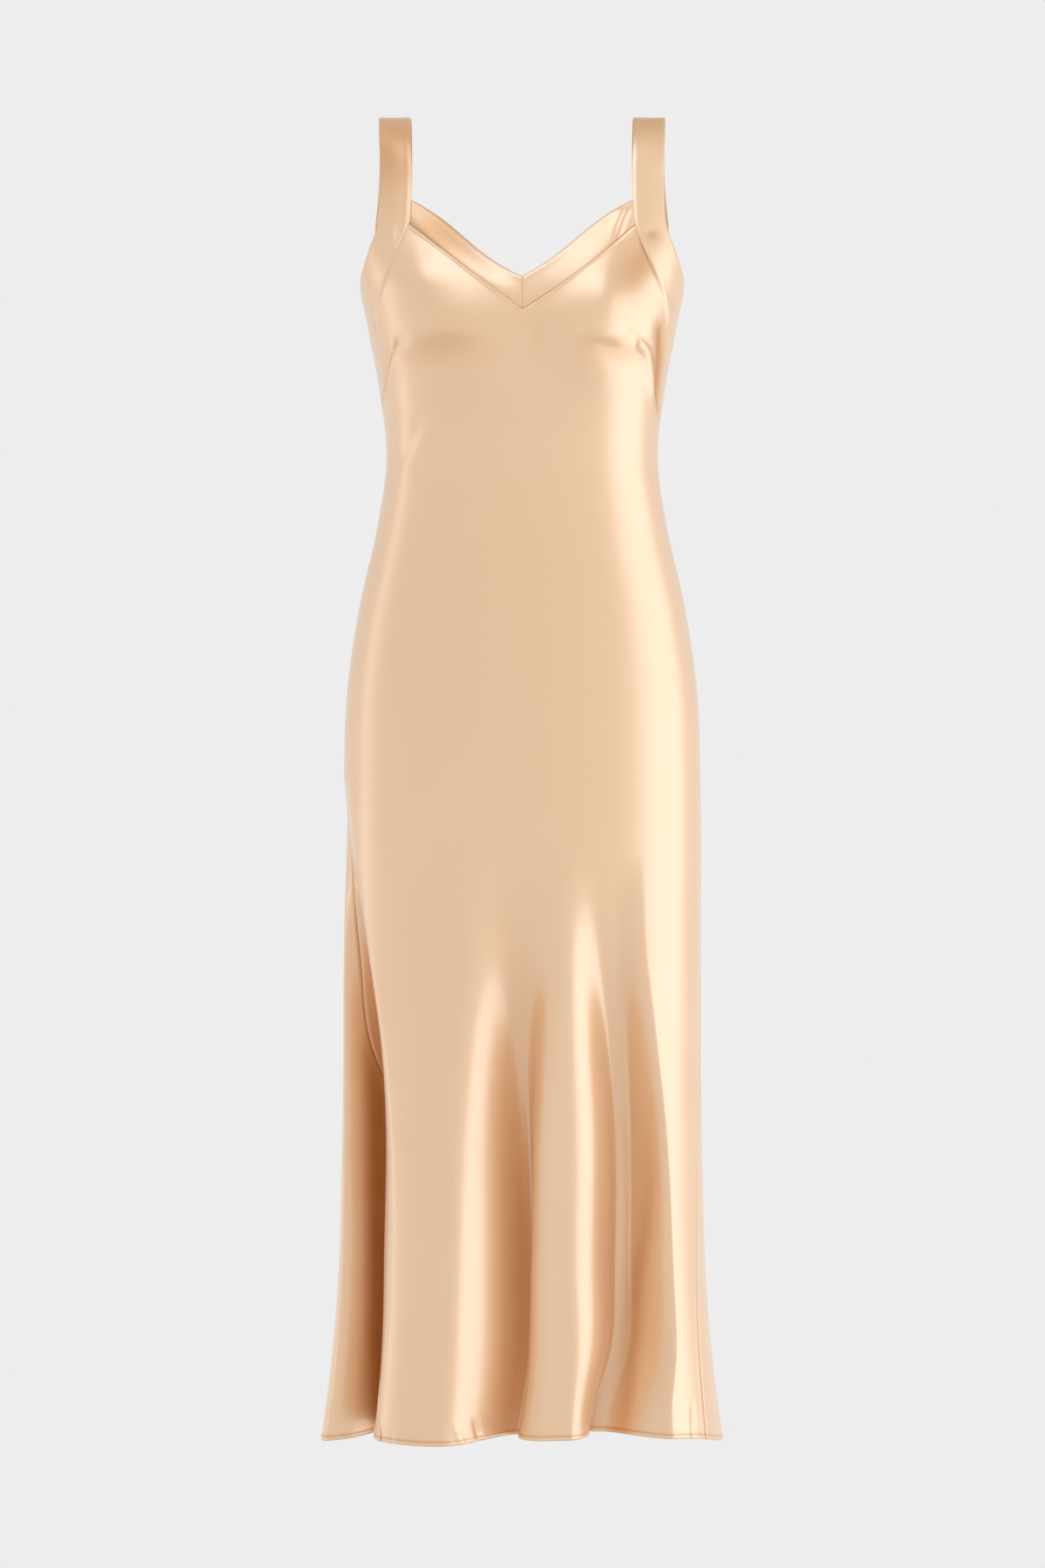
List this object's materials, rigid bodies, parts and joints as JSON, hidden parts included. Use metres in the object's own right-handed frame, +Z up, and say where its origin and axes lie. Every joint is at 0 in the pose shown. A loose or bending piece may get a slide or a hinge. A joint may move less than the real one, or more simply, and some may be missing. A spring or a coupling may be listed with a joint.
{
  "type": "slip dress",
  "caption": "Bias-cut midi slip dress in satin, kept in its worn hollow form, with wide shoulder straps, a mitred V neck band, bust darts and a softly flared skirt.",
  "frame": {"origin": "midway between the tops of the two shoulder straps, at the level of the shoulders that hold them", "axes": "+Z up, the front of the dress faces -Y, +X points to the wearer's left side"},
  "size_m": [0.3779, 0.2976, 1.2406],
  "materials": {
    "satin": "satin"
  },
  "bodies": {
    "root": {"front": "satin", "back": "satin", "neck_band_front_left": "satin", "neck_band_front_right": "satin", "neck_band_back_left": "satin", "neck_band_back_right": "satin", "armhole_band_left": "satin", "armhole_band_right": "satin"}
  },
  "joints": []
}
